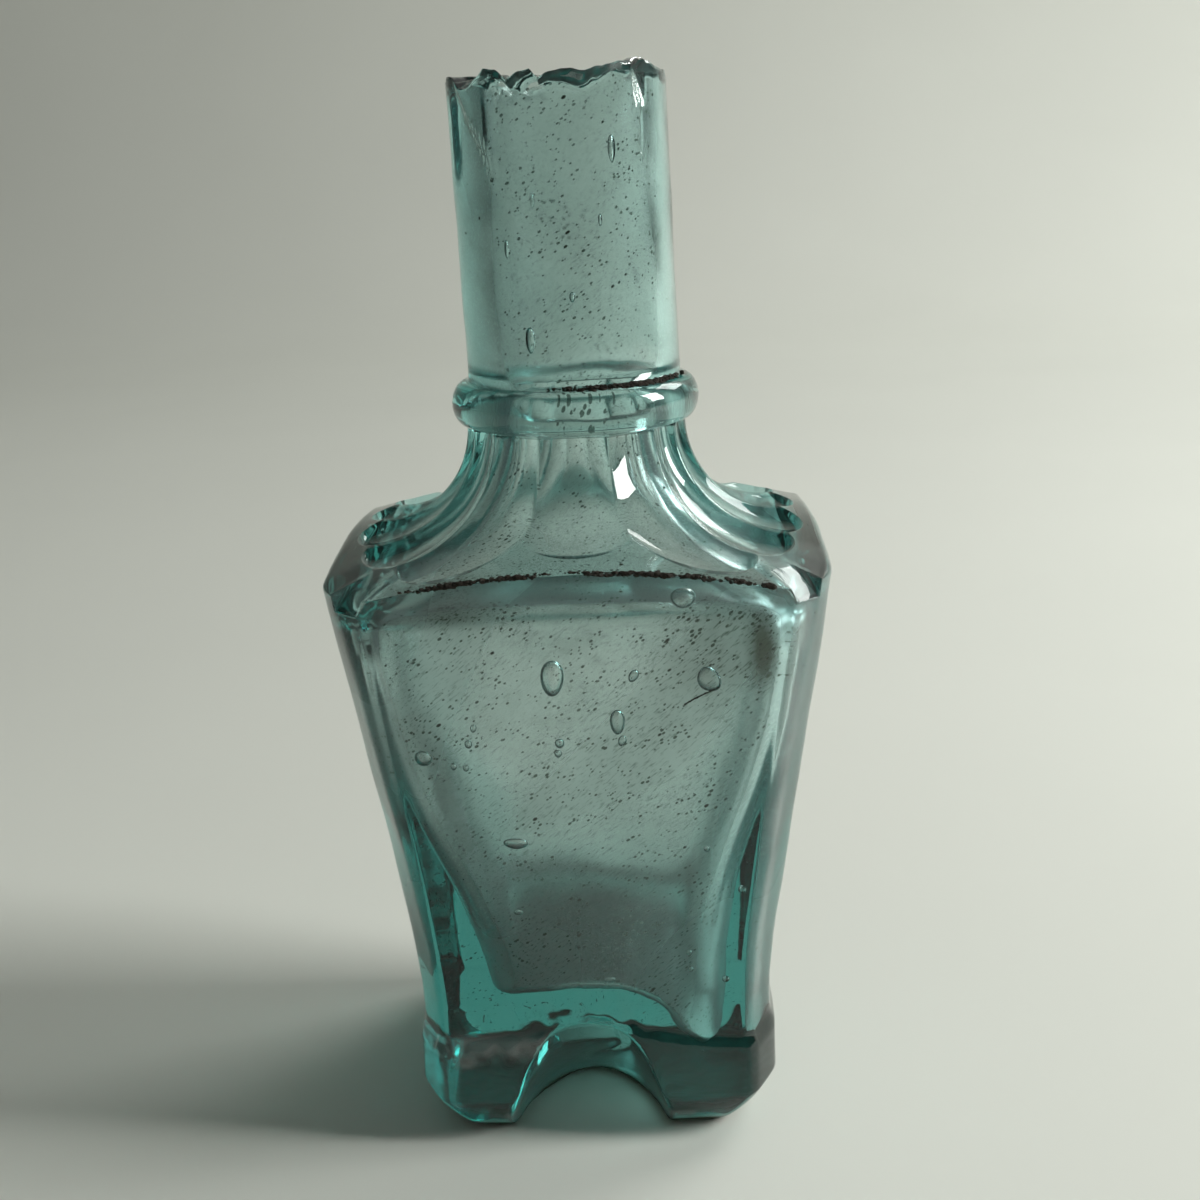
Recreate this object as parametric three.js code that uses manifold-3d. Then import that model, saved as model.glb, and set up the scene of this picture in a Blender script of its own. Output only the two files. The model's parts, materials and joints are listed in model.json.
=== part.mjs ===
// A small square mould-blown glass bottle: tapered four-panel body on a notched foot,
// fluted shoulder, moulded neck ring and a neck whose lip was burst off and left jagged.
// The glass is one body of metal; here each region that the mould and the blowpipe formed
// is its own closed solid, and neighbouring regions stand a hair apart.
// Units are millimetres, +Z is up, and the origin is under the middle of the base.
import * as THREE from 'three';
import { mergeVertices } from 'three/addons/utils/BufferGeometryUtils.js';
import Module from 'manifold-3d';

const wasm = await Module();
wasm.setup();

// ---- Driving dimensions ----
const GAP = 0.3;                // clearance between neighbouring regions

const NECK_RADIUS = 11.0;       // outside of the neck
const BORE_RADIUS = 8.4;        // inside of the neck
const RIM_HEIGHT = 107.7;       // mean height of the burst rim
const RIM_TILT = 0.9;           // how far the rim rises towards +X
const RIM_TEETH = 0.55;         // height of the small teeth along the rim
const LIP_BOTTOM = 99.0;        // where the broken lip region meets the sound neck

const RING_TOP = 78.4;          // neck ring, a moulded half-round collar
const RING_BOTTOM = 73.9;
const RING_RADIUS = 12.85;
const ROOT_RADIUS = 11.35;      // shoulder where it leaves the ring

const SHOULDER_HEIGHT = 61.0;   // top corners of the panels
const SHOULDER_HALF = 23.2;     // half the body's width at those corners
const PANEL_ARCH = 2.0;         // how much higher a panel's top edge is in the middle
const SIDE_BULGE = 1.9;         // the left and right panels swell, mostly close to their edges
const SIDE_ROLL = 1.5;          // and roll over at the top
const FACE_BOW = 0.25;          // outward bow of the front and back panels
const FLUTE_DEPTH = 0.7;        // scoop of a flute below its ridges

// Ridges between flutes, in degrees from a panel's middle, and how far the ridges and the flutes
// between them run out: three flutes over the front and back panels, four over the sides
const FACE_RIDGES = [-45, -18, 18, 45];
const FACE_RIDGE_REACH = 17.2;
const FACE_MIDDLE_RUN_OUT = 2.6;
const FACE_FLANK_RUN_OUT = 4.2;
const SIDE_RIDGES = [-45, -25, 0, 25, 45];
const SIDE_RIDGE_REACH = 20.6;
const SIDE_RUN_OUT = 1.9;
const LEDGE = 0.3;              // width of the small step where a flute stops on the band
const ROOF_SLOPE = 0.3;         // rise per millimetre of the band above a panel

const WAIST_HEIGHT = 15.6;      // foot of the panels
const WAIST_HALF = 18.2;
const CHAMFER_AZIMUTH = 40;     // degrees from a panel's middle to the edge of the chamfer

// Foot, from the table up: height and half width
const FOOT_PROFILE = [[0, 15.5], [2, 17.0], [4.5, 18.3], [7, 18.55], [12, 18.05], [WAIST_HEIGHT, WAIST_HALF]];

// Half-dome notch scooped out of the front of the foot
const NOTCH_CENTRE = [-0.8, -18.6, 0];
const NOTCH_SEMI_AXES = [8.0, 13.4, 14.2];

// Cavity, from the floor up: height, half width, squareness (2 is round), shift towards +X
const CAVITY_STATIONS = [
  [16.5, 10.6, 3, 1.4],
  [20, 12.6, 4, 1.0],
  [30, 15.7, 5, 0.6],
  [40, 18.6, 6, 0.2],
  [57, 20.6, 6, 0],
  [60.5, 18.0, 4, 0],
  [63, 14.0, 3, 0],
  [66, 11.0, 2.4, 0],
  [70, 9.0, 2, 0],
  [74, BORE_RADIUS, 2, 0],
  [112, BORE_RADIUS, 2, 0],
];
const FLOOR_DOME = 2.2;         // how far the cavity's floor dips below its lowest station's rim

const SEGMENTS = 72;            // divisions round the axis, five degrees each
const NECK_SEGMENTS = 48;

// ---- Small helpers ----
const radians = THREE.MathUtils.degToRad;
const lerp = THREE.MathUtils.lerp;

// Azimuth measured from the middle of the nearest panel, -45 to 45 degrees
function fromPanelMiddle(azimuth) {
  const turned = THREE.MathUtils.euclideanModulo(azimuth + 45, 90);
  return turned - 45;
}

function facesSideways(azimuth) {
  return Math.abs(Math.cos(radians(azimuth))) > Math.SQRT1_2;
}

// 1 over the middle of a side panel, falling to 0 at its edges and over the other panels
function sideSwell(azimuth) {
  const a = Math.min(Math.abs(fromPanelMiddle(azimuth)), CHAMFER_AZIMUTH);
  const across = Math.tan(radians(a)) / Math.tan(radians(CHAMFER_AZIMUTH));
  return facesSideways(azimuth) ? 1 - across ** 4 : 0;
}

// Distance from the axis to the side of a chamfered square with bulging sides
function bodyRadius(azimuth, half) {
  const a = Math.abs(fromPanelMiddle(azimuth));
  if (a > CHAMFER_AZIMUTH) {
    const chamferDistance = half * (1 + Math.tan(radians(CHAMFER_AZIMUTH))) * Math.SQRT1_2;
    return chamferDistance / Math.cos(radians(45 - a));
  }
  const across = Math.tan(radians(a)) / Math.tan(radians(CHAMFER_AZIMUTH));
  const bow = facesSideways(azimuth) ? SIDE_BULGE * sideSwell(azimuth) : FACE_BOW * (1 - across * across);
  return (half + bow) / Math.cos(radians(a));
}

// Half width of the body at a height between the foot's waist and the shoulder
function bodyHalf(z) {
  const t = (z - WAIST_HEIGHT) / (SHOULDER_HEIGHT - WAIST_HEIGHT);
  return lerp(WAIST_HALF, SHOULDER_HALF, t);
}

// Height of a panel's top edge, arched between the chamfers
function panelTop(azimuth) {
  const a = Math.min(Math.abs(fromPanelMiddle(azimuth)), CHAMFER_AZIMUTH);
  const across = Math.tan(radians(a)) / Math.tan(radians(CHAMFER_AZIMUTH));
  return SHOULDER_HEIGHT + PANEL_ARCH * (1 - across * across);
}

// How far across a flute an azimuth lies: scoop is 1 in its middle and 0 on the ridges beside
// it, and reach is the half width at which it runs out
function flute(azimuth) {
  const a = fromPanelMiddle(azimuth);
  const sideways = facesSideways(azimuth);
  const ridges = sideways ? SIDE_RIDGES : FACE_RIDGES;
  const next = Math.max(1, ridges.findIndex((ridge) => ridge >= a));
  const middle = (ridges[next - 1] + ridges[next]) / 2;
  const u = (a - middle) / (ridges[next] - middle);
  const scoop = 1 - u * u;
  if (sideways) {
    const towardsCorner = Math.max(0, (Math.abs(a) - 25) / 20);
    return { scoop, reach: lerp(SIDE_RIDGE_REACH, FACE_RIDGE_REACH, towardsCorner) + scoop * SIDE_RUN_OUT };
  }
  const runOut = middle === 0 ? FACE_MIDDLE_RUN_OUT : FACE_FLANK_RUN_OUT;
  return { scoop, reach: FACE_RIDGE_REACH + scoop * runOut };
}

// Height of the burst rim round the neck: a tilt, a few shallow bites and small teeth
function rimHeight(azimuth) {
  const a = radians(azimuth);
  const tilt = RIM_TILT * Math.cos(a);
  const bites = 0.35 * Math.sin(3 * a + 1.0);
  const teeth = RIM_TEETH * Math.sin(7 * a) * Math.cos(2 * a + 0.6);
  return RIM_HEIGHT + tilt + bites + teeth;
}

// A closed solid of rings about the Z axis. surface(azimuth, ring) gives [radius, height] on
// each ring, shift(ring) moves a ring along X, and bottom and top are the heights of the cap centres.
function ringSolid(ringCount, surface, bottom, top, shift = () => 0, segments = SEGMENTS) {
  const geometry = new THREE.CylinderGeometry(1, 1, 1, segments, ringCount - 1);
  geometry.rotateX(Math.PI / 2);
  const position = geometry.attributes.position;
  for (let i = 0; i < position.count; i += 1) {
    const x = position.getX(i);
    const y = position.getY(i);
    const ring = Math.round((position.getZ(i) + 0.5) * (ringCount - 1));
    if (Math.hypot(x, y) < 0.5) {
      position.setXYZ(i, shift(ring), 0, ring === 0 ? bottom : top);
      continue;
    }
    const azimuth = THREE.MathUtils.radToDeg(Math.atan2(y, x));
    const [radius, height] = surface(azimuth, ring);
    position.setXYZ(i, x * radius + shift(ring), y * radius, height);
  }
  return geometry;
}

// Geometry to manifold solid and back
function solid(geometry) {
  const bare = geometry.index ? geometry.clone() : geometry;
  bare.deleteAttribute('normal');
  bare.deleteAttribute('uv');
  const merged = mergeVertices(bare, 1e-4);
  const vertProperties = new Float32Array(merged.attributes.position.array);
  const triVerts = new Uint32Array(merged.index.array);
  return new wasm.Manifold(new wasm.Mesh({ numProp: 3, vertProperties, triVerts }));
}

function toGeometry(manifold) {
  const mesh = manifold.getMesh();
  const geometry = new THREE.BufferGeometry();
  geometry.setAttribute('position', new THREE.BufferAttribute(new Float32Array(mesh.vertProperties), 3));
  geometry.setIndex(new THREE.BufferAttribute(new Uint32Array(mesh.triVerts), 1));
  geometry.computeVertexNormals();
  return geometry;
}

// A slab between two heights, trimmed by half the gap at each
function slab(low, high) {
  const size = 4 * SHOULDER_HALF;
  const thickness = high - low - GAP;
  const box = new THREE.BoxGeometry(size, size, thickness);
  box.translate(0, 0, (low + high) / 2);
  return solid(box);
}

// A wedge about the axis from one azimuth to another, trimmed by half the gap on both faces
function wedge(from, to) {
  const reach = 3 * SHOULDER_HALF;
  const half = radians((to - from) / 2);
  const apex = (GAP / 2) / Math.sin(half);
  const outline = new THREE.Shape();
  outline.moveTo(apex, 0);
  outline.lineTo(apex + reach * Math.cos(half), -reach * Math.sin(half));
  outline.lineTo(apex + reach * Math.cos(half), reach * Math.sin(half));
  outline.closePath();
  const prism = new THREE.ExtrudeGeometry(outline, { depth: RIM_HEIGHT, bevelEnabled: false });
  prism.rotateZ(radians((from + to) / 2));
  return solid(prism);
}

// ---- The hollow inside the glass ----
function cavity() {
  const rings = CAVITY_STATIONS.length;
  const surface = (azimuth, ring) => {
    const [height, half, squareness] = CAVITY_STATIONS[ring];
    const c = Math.abs(Math.cos(radians(azimuth))) ** squareness;
    const s = Math.abs(Math.sin(radians(azimuth))) ** squareness;
    return [half / (c + s) ** (1 / squareness), height];
  };
  const floor = CAVITY_STATIONS[0][0] - FLOOR_DOME;
  const ceiling = CAVITY_STATIONS[rings - 1][0];
  return solid(ringSolid(rings, surface, floor, ceiling, (ring) => CAVITY_STATIONS[ring][3]));
}

// ---- Neck: burst lip, sound tube and moulded ring ----
function burstLip() {
  const low = LIP_BOTTOM + GAP / 2;
  const surface = (azimuth, ring) => [NECK_RADIUS, ring === 0 ? low : rimHeight(azimuth)];
  return ringSolid(2, surface, low, RIM_HEIGHT, () => 0, NECK_SEGMENTS);
}

function turnedRing(points) {
  const closed = [...points, points[0]];
  const geometry = new THREE.LatheGeometry(closed.map(([r, z]) => new THREE.Vector2(r, z)), NECK_SEGMENTS);
  geometry.rotateX(Math.PI / 2);
  return geometry;
}

function neckTube() {
  const low = RING_TOP + GAP / 2;
  const high = LIP_BOTTOM - GAP / 2;
  return turnedRing([[BORE_RADIUS, low], [NECK_RADIUS, low], [NECK_RADIUS, high], [BORE_RADIUS, high]]);
}

function neckRing() {
  const low = RING_BOTTOM + GAP / 2;
  const high = RING_TOP - GAP / 2;
  const steps = 7;
  const section = [[BORE_RADIUS, low]];
  for (let i = 0; i <= steps; i += 1) {
    const angle = Math.PI * (i / steps) - Math.PI / 2;
    const radius = ROOT_RADIUS + (RING_RADIUS - ROOT_RADIUS) * Math.cos(angle);
    section.push([radius, (low + high) / 2 + ((high - low) / 2) * Math.sin(angle)]);
  }
  section.push([BORE_RADIUS, high]);
  return turnedRing(section);
}

// ---- Shoulder: coved flutes that run out on a sloping band above the panels ----
function shoulderBlock() {
  const coveRings = 7;
  const bandRings = 4;
  const skirt = SHOULDER_HEIGHT - 2;
  const surface = (azimuth, ring) => {
    const a = radians(Math.abs(fromPanelMiddle(azimuth)));
    const roll = SIDE_ROLL * sideSwell(azimuth);
    const swollen = bodyRadius(azimuth, SHOULDER_HALF);
    const edge = swollen - roll / Math.cos(a);
    const band = (radius) => panelTop(azimuth) + (edge - radius) * ROOF_SLOPE;
    const { scoop, reach: halfWidth } = flute(azimuth);
    const reach = Math.min(halfWidth / Math.cos(a), edge - 2 * LEDGE);
    if (ring === 0) {
      return [swollen, skirt];
    }
    if (ring === 1) {
      return [swollen, panelTop(azimuth) - roll];
    }
    if (ring === 2) {
      return [edge, band(edge)];
    }
    if (ring === 3) {
      return [reach + LEDGE, band(reach + LEDGE)];
    }
    const sweep = (Math.PI / 2) * ((bandRings + coveRings - 1 - ring) / (coveRings - 1));
    const depth = FLUTE_DEPTH * scoop;
    const radius = reach - (reach - ROOT_RADIUS + depth) * Math.cos(sweep);
    const height = RING_BOTTOM - (RING_BOTTOM - band(reach) + depth) * Math.sin(sweep);
    return [radius, height];
  };
  return ringSolid(coveRings + bandRings, surface, skirt, RING_BOTTOM);
}

// ---- Body: a tapered chamfered square, cut into four panels and four corner columns ----
function bodyBlock() {
  const heights = [WAIST_HEIGHT, SHOULDER_HEIGHT];
  const surface = (azimuth, ring) => [bodyRadius(azimuth, bodyHalf(heights[ring])), heights[ring]];
  return ringSolid(heights.length, surface, heights[0], heights[1]);
}

// ---- Foot: waisted block with a bevelled edge and a half-dome notch in front ----
function footBlock() {
  const surface = (azimuth, ring) => {
    const [height, half] = FOOT_PROFILE[ring];
    return [bodyRadius(azimuth, half), height];
  };
  return ringSolid(FOOT_PROFILE.length, surface, 0, WAIST_HEIGHT);
}

function notch() {
  const dome = new THREE.SphereGeometry(1, 32, 20);
  dome.rotateX(Math.PI / 2);
  dome.scale(...NOTCH_SEMI_AXES);
  dome.translate(...NOTCH_CENTRE);
  return solid(dome);
}

// ---- Assembly ----
const aquaGlass = {
  color: 0x8fb8ae,
  roughness: 0.06,
  metalness: 0,
  transparent: true,
  opacity: 0.35,
};

const bottle = new THREE.Group();

function add(name, geometry) {
  const mesh = new THREE.Mesh(geometry, new THREE.MeshStandardMaterial(aquaGlass));
  mesh.name = name;
  bottle.add(mesh);
}

const hollow = cavity();

add('burst_lip', toGeometry(solid(burstLip()).subtract(hollow)));
add('neck_tube', neckTube());
add('neck_ring', neckRing());

const shoulder = solid(shoulderBlock()).subtract(hollow).intersect(slab(SHOULDER_HEIGHT, RING_BOTTOM));
add('fluted_shoulder', toGeometry(shoulder));

const shell = solid(bodyBlock()).subtract(hollow).intersect(slab(WAIST_HEIGHT, SHOULDER_HEIGHT));
const sides = [['right', 0], ['back', 90], ['left', 180], ['front', 270]];
const corners = [['back_right', 45], ['back_left', 135], ['front_left', 225], ['front_right', 315]];
for (const [side, middle] of sides) {
  const cutter = wedge(middle - CHAMFER_AZIMUTH, middle + CHAMFER_AZIMUTH);
  add(`${side}_panel`, toGeometry(shell.intersect(cutter)));
}
for (const [corner, middle] of corners) {
  const halfWidth = 45 - CHAMFER_AZIMUTH;
  const cutter = wedge(middle - halfWidth, middle + halfWidth);
  add(`${corner}_corner`, toGeometry(shell.intersect(cutter)));
}

const foot = solid(footBlock()).subtract(hollow).subtract(notch());
add('notched_foot', toGeometry(foot.intersect(slab(-GAP / 2, WAIST_HEIGHT))));

export default bottle;
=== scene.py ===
import json
import math
import random

import bpy
import numpy as np
from mathutils import Matrix, Vector


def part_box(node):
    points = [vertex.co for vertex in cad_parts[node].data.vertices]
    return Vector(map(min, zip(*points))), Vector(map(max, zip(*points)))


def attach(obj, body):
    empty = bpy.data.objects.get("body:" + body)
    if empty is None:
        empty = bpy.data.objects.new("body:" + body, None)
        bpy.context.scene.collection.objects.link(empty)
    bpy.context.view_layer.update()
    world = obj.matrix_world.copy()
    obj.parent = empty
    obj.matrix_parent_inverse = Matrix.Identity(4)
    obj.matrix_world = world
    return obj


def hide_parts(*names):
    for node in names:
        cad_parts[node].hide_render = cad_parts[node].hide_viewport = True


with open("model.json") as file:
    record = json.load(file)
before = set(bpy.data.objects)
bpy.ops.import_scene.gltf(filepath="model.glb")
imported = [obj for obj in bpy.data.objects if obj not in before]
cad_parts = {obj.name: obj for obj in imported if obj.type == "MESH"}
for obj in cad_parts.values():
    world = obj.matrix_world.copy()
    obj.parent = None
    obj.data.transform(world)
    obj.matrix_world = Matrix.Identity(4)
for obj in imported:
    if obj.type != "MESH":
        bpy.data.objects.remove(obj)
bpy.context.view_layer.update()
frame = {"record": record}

# An old mould-blown bottle of aqua glass: one closed skin of glass from the underside up to the
# burst rim and down again to the floor of the cavity, with seeds trapped in the metal, weathering
# inside, and soil crusted in the seams. Shapes are worked out in millimetres and made in metres.

MM = 0.001
rng = np.random.default_rng(1871)


# ---------------------------------------------------------------- sizes, from the frame

def corners_mm(node):
    low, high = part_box(node)
    return np.array(low) / MM, np.array(high) / MM


_, lip_high = corners_mm("burst_lip")
tube_low, tube_high = corners_mm("neck_tube")
ring_low, ring_high = corners_mm("neck_ring")
shoulder_low, shoulder_high = corners_mm("fluted_shoulder")
panel_low, panel_high = corners_mm("front_panel")
_, foot_high = corners_mm("notched_foot")

NECK_RADIUS = tube_high[0]
RIM_TOP = lip_high[2]
RING_TOP = (ring_high[2] + tube_low[2]) / 2
RING_BOTTOM = (ring_low[2] + shoulder_high[2]) / 2
RING_RADIUS = ring_high[0]
SHOULDER_Z = (shoulder_low[2] + panel_high[2]) / 2
WAIST_Z = (foot_high[2] + panel_low[2]) / 2

# Sizes that the boxes above don't give, in millimetres
BORE_RADIUS = NECK_RADIUS - 2.9
ROOT_RADIUS = NECK_RADIUS + 0.35      # shoulder where it leaves the ring
SIDE_BOW = 0.3                        # outward bow of the left and right panels
FACE_BOW = 0.25                       # outward bow of the front and back panels
SHOULDER_HALF = shoulder_high[1] - FACE_BOW
WAIST_HALF = 18.15
SIDE_SWELL = shoulder_high[0] - SHOULDER_HALF - SIDE_BOW
CHEEK_SLOPE = math.radians(25)        # the cheek between a chamfer and a side panel
SIDE_ROLL = 1.5                       # how far the side panels roll over at the top
FACE_ROLL = 0.12
# Corner by height: how far the chamfer cuts into the face, its width, and the side's swell
CORNER = np.array([
    (0.0, 2.6, 0.9, 0.45),
    (15.6, 2.6, 0.8, 0.35),
    (21.0, 3.0, 0.9, 0.45),
    (33.5, 3.1, 1.45, 0.80),
    (50.0, 2.6, 2.0, 1.40),
    (61.0, 2.4, 2.6, SIDE_SWELL),
])
PANEL_ARCH = 2.0                      # a panel's top edge is this much higher in the middle
CAP_DROP = 1.5                        # how far the chamfers stop short of the panels' top corners
CAP_SLOPE = 0.85                      # rise of the small facet that caps each chamfer
BAND_SLOPE = 0.3                      # rise of the sloping band above the panels
FLUTE_DEPTH = 0.95
FACE_RIDGES = (-45, -18, 18, 45)      # ridges between flutes, degrees from a panel's middle
FACE_REACH = 17.2                     # half width of the square on which these ridges end
FACE_RUN_OUTS = (4.3, 2.6, 4.3)       # how much further each flute between them reaches
SIDE_RIDGES = (-45, -25, 0, 25, 45)
SIDE_REACH = 20.9
SIDE_RUN_OUTS = (1.7, 1.9, 1.9, 1.7)
FLUTE_STEP = 0.25                     # width of the step where a flute stops on the band
BORE_SHIFT = 0.45                     # the bore is off centre: the neck is thicker at the left
NECK_LEAN = 0.7                       # how far the neck's top is to the left of its foot
FOOT_EDGE_HALF = 15.2                 # half width of the flat underside
BEVEL_HEIGHT = 4.9
BEVEL_POWER = 1.7                     # 1 would be a quarter round and 2 a flat bevel
FOOT_HALF = WAIST_HALF + 0.40         # the block under the waist
LEDGE_Z = 10.6                        # top of that block, and how it arches over the notch
LEDGE_ARCH = 2.6
NOTCH_MIDDLE = (-0.8, -18.6)
NOTCH_HALF = (8.2, 13.5, 14.0)        # half width, depth and height of the half dome

# Cavity: height, half width to the left, to the right, and front to back, and squareness of the
# section (2 is round). It narrows downwards faster than the outside, and leans to the right.
CAVITY = np.array([
    (2.0, 9.6, 13.2, 12.4, 3.6),
    (8.0, 10.2, 13.5, 13.0, 3.8),
    (14.0, 10.9, 13.7, 14.0, 4.2),
    (20.0, 11.9, 14.0, 15.4, 4.8),
    (26.0, 13.8, 14.8, 16.9, 5.4),
    (33.0, 16.3, 16.6, 18.2, 6.4),
    (40.0, 18.6, 18.6, 19.2, 7.6),
    (48.0, 20.1, 20.3, 20.1, 9.0),
    (56.0, 21.1, 21.1, 20.6, 9.0),
    (58.8, 20.7, 20.7, 20.1, 8.0),
    (60.3, 18.7, 18.7, 18.3, 5.6),
    (61.8, 15.2, 15.2, 15.1, 4.0),
    (64.0, 12.2, 12.2, 12.2, 3.0),
    (67.0, 10.1, 10.1, 10.1, 2.4),
    (70.0, 8.8, 8.8, 8.8, 2.1),
    (74.0, BORE_RADIUS, BORE_RADIUS, BORE_RADIUS, 2.0),
])
CAVITY_TOP = CAVITY[-1, 0]


# ---------------------------------------------------------------- curves and waves

def smooth_curve(x, xs, ys):
    """Cubic through (xs, ys) with the slopes of its neighbours, so it has no kinks."""
    slopes = np.gradient(ys, xs)
    x = np.clip(x, xs[0], xs[-1])
    i = np.clip(np.searchsorted(xs, x) - 1, 0, len(xs) - 2)
    step = xs[i + 1] - xs[i]
    t = (x - xs[i]) / step
    blend = t * t * (3 - 2 * t)
    rise = ys[i] * (1 - blend) + ys[i + 1] * blend
    return rise + step * (slopes[i] * t * (1 - t) ** 2 - slopes[i + 1] * t * t * (1 - t))


def ease(t):
    t = np.clip(t, 0, 1)
    return t * t * (3 - 2 * t)


def bump(x, middle, width):
    return np.exp(-(((x - middle) / width) ** 2))


def waves(points, wavelength, seed, count=9):
    """Smooth irregular field of about unit height, from sine waves in random directions."""
    source = np.random.default_rng(seed)
    total = np.zeros(points.shape[:-1])
    for _ in range(count):
        direction = source.normal(size=3)
        direction /= np.linalg.norm(direction)
        length = wavelength * source.uniform(0.7, 1.6)
        phase = source.uniform(0, 2 * math.pi)
        total += np.sin(points @ direction * (2 * math.pi / length) + phase)
    return total / math.sqrt(count / 2)


# ---------------------------------------------------------------- outer shape, by azimuth

# Spacing of the meridians, in degrees: on the front, on the other sides, and close to the corners
FRONT_SPACING, SIDE_SPACING, CORNER_SPACING = 0.95, 1.6, 0.5
CORNER_FROM = 38


def column_azimuths():
    """Meridians round the axis: one on every ridge, and close together at the corners."""
    found = []
    for middle in (0, 90, 180, 270):
        ridges = SIDE_RIDGES if middle in (0, 180) else FACE_RIDGES
        stops = sorted({*ridges, -CORNER_FROM, CORNER_FROM})
        for start, stop in zip(stops[:-1], stops[1:]):
            in_corner = {abs(start), abs(stop)} == {CORNER_FROM, 45}
            plain_spacing = FRONT_SPACING if middle == 270 else SIDE_SPACING
            count = math.ceil((stop - start) / (CORNER_SPACING if in_corner else plain_spacing))
            found.extend(middle + np.linspace(start, stop, count, endpoint=False))
    return np.radians(found)


AZIMUTH = column_azimuths()
FROM_MIDDLE = np.radians((np.degrees(AZIMUTH) + 45) % 90 - 45)
SIDEWAYS = np.abs(np.cos(AZIMUTH)) > np.abs(np.sin(AZIMUTH))
OUTWARD = np.stack([np.cos(AZIMUTH), np.sin(AZIMUTH), 0 * AZIMUTH], axis=1)


def meet(crispness, *radii):
    """The smallest of several radii, rounded a little where they meet."""
    least = np.minimum.reduce(radii)
    return least * sum((least / r) ** crispness for r in radii) ** (-1 / crispness)


def body_radius(half, z):
    """Distance from the axis to the body: flat faces, chamfers, cheeks and swollen sides."""
    leg, width, swell = (np.interp(z, CORNER[:, 0], CORNER[:, i]) for i in (1, 2, 3))
    c, s = np.abs(np.cos(AZIMUTH)), np.abs(np.sin(AZIMUTH))
    across_face = np.clip(c / np.maximum(s, 0.3) * half / (half - leg), 0, 1.2)
    across_side = np.clip(s / np.maximum(c, 0.3) * half / (half - leg), 0, 1.2)
    to_face = (half + FACE_BOW * (1 - across_face ** 2)) / np.maximum(s, 0.02)
    to_side = (half + swell + SIDE_BOW * (1 - across_side ** 2)) / np.maximum(c, 0.02)
    to_chamfer = (2 * half - leg) / (c + s)
    cos_cheek, sin_cheek = math.cos(CHEEK_SLOPE), math.sin(CHEEK_SLOPE)
    cheek = (half - leg + width) * cos_cheek + (half - width) * sin_cheek
    to_cheek = cheek / (c * cos_cheek + s * sin_cheek)
    return meet(240, meet(110, to_side, to_cheek), to_chamfer, to_face)


def body_half(z):
    t = (z - WAIST_Z) / (SHOULDER_Z - WAIST_Z)
    return WAIST_HALF + (SHOULDER_HALF - WAIST_HALF) * np.minimum(t, 1)


def across_panel():
    return np.clip(np.tan(np.abs(FROM_MIDDLE)) / math.tan(math.radians(40)), 0, 1)


def on_chamfer():
    """1 on a chamfer and 0 on a panel, with a quick change at the edge between them."""
    return ease((np.degrees(np.abs(FROM_MIDDLE)) - 41.0) / 1.0)


def panel_top():
    return SHOULDER_Z + PANEL_ARCH * (1 - across_panel() ** 2) - CAP_DROP * on_chamfer()


def top_roll():
    return np.where(SIDEWAYS, SIDE_ROLL * (1 - across_panel() ** 4), 0) + FACE_ROLL


def band_edge():
    return body_radius(SHOULDER_HALF, SHOULDER_Z) - top_roll() / np.cos(FROM_MIDDLE)


def band_height(radius):
    """Height of the sloping band above the panels, with a facet capping each chamfer."""
    inward = band_edge() - radius
    band = panel_top() + CAP_DROP * on_chamfer() + inward * BAND_SLOPE
    facet = panel_top() + inward * CAP_SLOPE
    return np.where(on_chamfer() > 0, np.minimum(band, facet), band)


def flutes():
    """Scoop is 1 in the middle of a flute and 0 on its ridges; reach is where the flute ends."""
    degrees = np.degrees(FROM_MIDDLE)
    scoop, half_width = np.zeros(len(AZIMUTH)), np.zeros(len(AZIMUTH))
    corner = np.clip((np.abs(degrees) - 25) / 20, 0, 1)
    ridge_reach = np.where(SIDEWAYS, SIDE_REACH + (FACE_REACH - SIDE_REACH) * corner, FACE_REACH)
    sets = ((True, SIDE_RIDGES, SIDE_RUN_OUTS), (False, FACE_RIDGES, FACE_RUN_OUTS))
    for sideways, ridges, run_outs in sets:
        for start, stop, run_out in zip(ridges[:-1], ridges[1:], run_outs):
            here = (SIDEWAYS == sideways) & (degrees >= start) & (degrees <= stop)
            u = (2 * degrees - start - stop) / (stop - start)
            scoop = np.where(here, 1 - u ** 2, scoop)
            half_width = np.where(here, ridge_reach + scoop * run_out, half_width)
    half_width = np.where(half_width == 0, ridge_reach, half_width)
    return np.clip(scoop, 0, 1), half_width / np.cos(FROM_MIDDLE)


def ring_row(radius, height):
    row = np.empty((len(AZIMUTH), 3))
    row[:, 0] = radius * np.cos(AZIMUTH)
    row[:, 1] = radius * np.sin(AZIMUTH)
    row[:, 2] = height
    return row


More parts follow.
